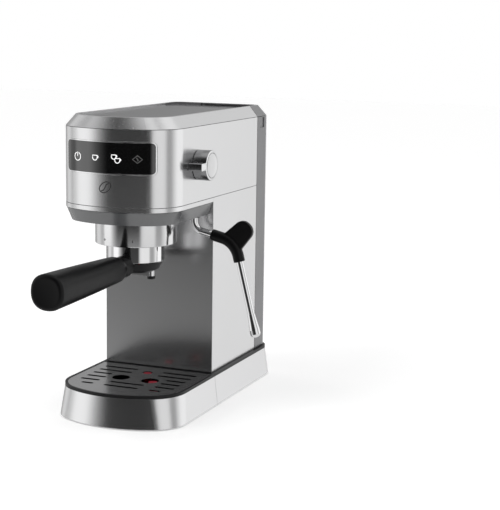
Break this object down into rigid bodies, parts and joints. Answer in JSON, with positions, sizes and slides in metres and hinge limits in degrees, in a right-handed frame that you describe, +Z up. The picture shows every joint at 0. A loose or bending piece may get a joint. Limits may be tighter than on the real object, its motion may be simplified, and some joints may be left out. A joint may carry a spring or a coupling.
{
  "type": "espresso machine",
  "caption": "Slim pump espresso machine: bowed steel head with a touch display over a drip tray, side knob and steam wand, rear tank and portafilter.",
  "frame": {"origin": "on the counter under the feet, where the plane of symmetry meets the column's front face", "axes": "+Z up, front towards -Y, so the portafilter's handle points along -Y and the steam wand is on the +X side"},
  "size_m": [0.2119, 0.4382, 0.339],
  "materials": {
    "shell_steel": "vertical fine brushing",
    "grid_steel": "lengthwise brushing",
    "top_satin": "satin",
    "pan_grey": "satin",
    "cup_grey": "satin",
    "black_plastic": "fine matte",
    "grip_black": "fine matte",
    "polished": "polished",
    "collar_steel": "polished round",
    "knob_satin": "satin",
    "display_black": "gloss",
    "circuit_board": "solder mask",
    "soft_rubber": "matte",
    "hose_silicone": "translucent white",
    "cast_alloy": "as cast",
    "valve_brass": "machined",
    "inner_steel": "bright",
    "frame_plastic": "moulded",
    "tank_smoke": "smoke tinted",
    "float_red": "gloss"
  },
  "bodies": {
    "housing": {"base_plate": "black_plastic", "rubber_feet": "soft_rubber", "base_screws": "inner_steel", "base_rear_skirt": "shell_steel", "base_deck": "black_plastic", "mains_inlet": "black_plastic", "column_front_panel": "shell_steel", "column_left_panel": "shell_steel", "column_right_panel": "shell_steel", "inner_frame": "frame_plastic", "head_shell": "shell_steel", "display_frame": "polished", "display_glass": "display_black", "touch_board": "circuit_board", "trim_band": "shell_steel", "head_pan": "pan_grey", "top_frame": "top_satin", "cup_plate": "cup_grey", "group_collar": "collar_steel", "group_head": "cast_alloy", "group_gasket": "soft_rubber", "shower_screen": "inner_steel", "shower_screw": "inner_steel", "thermoblock": "cast_alloy", "pump": "cast_alloy", "pump_mounts": "soft_rubber", "steam_valve": "valve_brass", "supply_hose": "hose_silicone", "brew_hose": "hose_silicone", "valve_hose": "hose_silicone", "steam_hose": "hose_silicone", "control_board": "circuit_board", "tank_dock": "black_plastic", "wand_gland": "black_plastic"},
    "tray": {"tray_skirt": "shell_steel", "tray_rim": "black_plastic", "drip_tub": "black_plastic"},
    "grid": {"drip_grid": "grid_steel"},
    "float": {"float_indicator": "float_red"},
    "portafilter": {"filter_body": "polished", "filter_funnel": "black_plastic", "twin_spout": "polished", "handle_ferrule": "grip_black", "handle_grip": "grip_black", "handle_bolt": "inner_steel", "filter_basket": "inner_steel", "basket_spring": "inner_steel"},
    "knob": {"knob_cap": "knob_satin", "knob_face": "knob_satin", "knob_shaft": "inner_steel"},
    "wand": {"steam_pipe": "polished", "wand_sleeve": "grip_black", "wand_nozzle": "polished"},
    "tank": {"water_tank": "tank_smoke", "tank_valve": "frame_plastic", "lid_pin": "inner_steel"},
    "lid": {"tank_lid": "tank_smoke"}
  },
  "joints": [
    {"name": "tray_slide", "type": "slide", "parent": "housing", "child": "tray", "axis": [0, -1, 0], "range_m": [0, 0.15]},
    {"name": "grid_lift", "type": "slide", "parent": "tray", "child": "grid", "axis": [0, 0, 1], "range_m": [0, 0.06]},
    {"name": "float_rise", "type": "slide", "parent": "tray", "child": "float", "axis": [0, 0, 1], "range_m": [0, 0.005]},
    {"name": "portafilter_twist", "type": "hinge", "parent": "housing", "child": "portafilter", "pos_m": [0, -0.0585, 0.2], "axis": [0, 0, 1], "range_deg": [-45, 0]},
    {"name": "knob_turn", "type": "hinge", "parent": "housing", "child": "knob", "pos_m": [0.0685, -0.0423, 0.2842], "axis": [1, 0, 0], "range_deg": [0, 120]},
    {"name": "wand_swing", "type": "hinge", "parent": "housing", "child": "wand", "pos_m": [0.0535, -0.019, 0.22], "axis": [0, 0, 1], "range_deg": [-80, 20]},
    {"name": "tank_lift", "type": "slide", "parent": "housing", "child": "tank", "axis": [0, 0, 1], "range_m": [0, 0.12]},
    {"name": "lid_hinge", "type": "hinge", "parent": "tank", "child": "lid", "pos_m": [0, 0.1764, 0.3266], "axis": [-1, 0, 0], "range_deg": [0, 95]}
  ]
}
